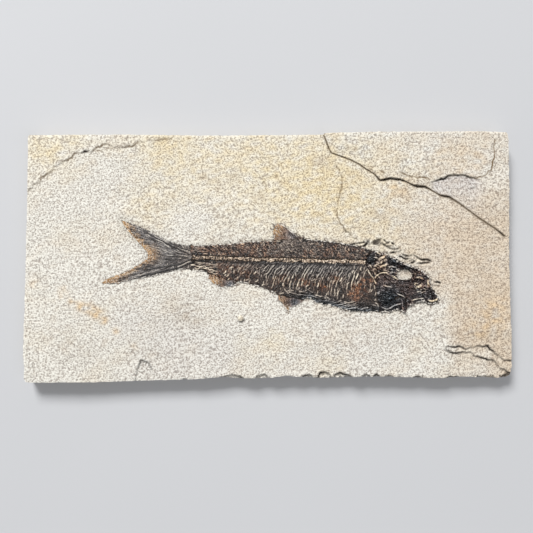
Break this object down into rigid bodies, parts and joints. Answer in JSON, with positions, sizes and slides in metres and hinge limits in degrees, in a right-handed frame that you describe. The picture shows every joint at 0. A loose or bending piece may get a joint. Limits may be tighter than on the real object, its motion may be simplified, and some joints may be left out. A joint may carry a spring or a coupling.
{
  "type": "fossil fish slab",
  "caption": "Thin rectangular slab of pale limestone lying on its back, with a flattened fossil fish standing in low relief on its face and one corner broken off and set back.",
  "frame": {"origin": "centre of the outline, on the flat back that the slab rests on", "axes": "+X along the slab's length towards the fish's head, +Y across the slab towards the fish's back, +Z out of the face that holds the fish"},
  "size_m": [0.332, 0.17, 0.0139],
  "materials": {
    "limestone": "matt pecked limestone, cream to grey-tan",
    "backbone_bone": "tan fossil bone with a slight gloss",
    "fossil_skin": "dark brown scaly film with grey ribs and rust stains",
    "head_bone": "near-black broken bone with a slight gloss and tan edges",
    "fin_rays": "grey-brown fin rays with ochre margins"
  },
  "bodies": {
    "root": {"slab": "limestone", "corner_fragment": "limestone", "backbone": "backbone_bone", "back_flank": "fossil_skin", "rib_cage": "fossil_skin", "skull": "head_bone", "gill_cover": "head_bone", "lower_jaw": "head_bone", "dorsal_fin": "fin_rays", "pelvic_fin": "fin_rays", "anal_fin": "fin_rays", "tail_fin": "fin_rays"}
  },
  "joints": []
}
